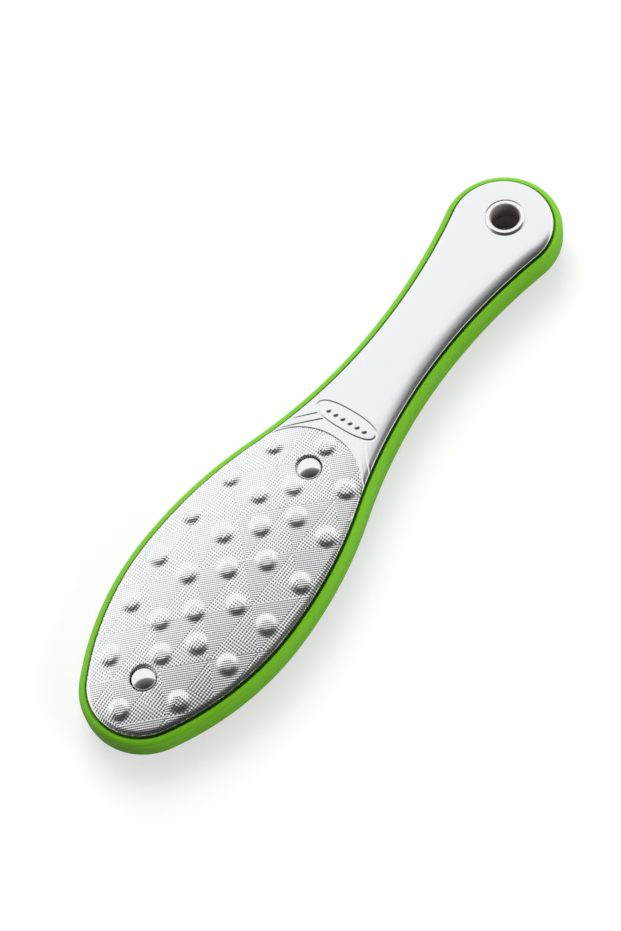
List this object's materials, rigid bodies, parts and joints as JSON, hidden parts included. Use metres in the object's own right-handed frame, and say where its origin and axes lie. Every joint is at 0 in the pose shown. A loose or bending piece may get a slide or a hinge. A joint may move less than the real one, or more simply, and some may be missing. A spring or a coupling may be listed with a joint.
{
  "type": "foot file",
  "caption": "Paddle-shaped foot file with a moulded rim, a domed coarse metal plate on one face, a plain fine plate on the other, riveted together, and an eyelet to hang it by.",
  "frame": {"origin": "centre of the base of the bounding box, on the surface that the file lies on with its coarse side up", "axes": "+Y along the file from the tip to the handle's end, +Z out of the coarse plate, +X across the file"},
  "size_m": [0.0684, 0.26, 0.0192],
  "materials": {
    "rim_plastic": "glossy lime green",
    "plate_steel": "bright polished steel",
    "plated_fittings": "mirror nickel plate"
  },
  "bodies": {
    "root": {"core_frame": "rim_plastic", "coarse_plate": "plate_steel", "fine_plate": "plate_steel", "upper_rivet": "plated_fittings", "lower_rivet": "plated_fittings", "upper_rivet_sleeve": "plated_fittings", "lower_rivet_sleeve": "plated_fittings", "front_eyelet": "plated_fittings", "rear_eyelet": "plated_fittings"}
  },
  "joints": []
}
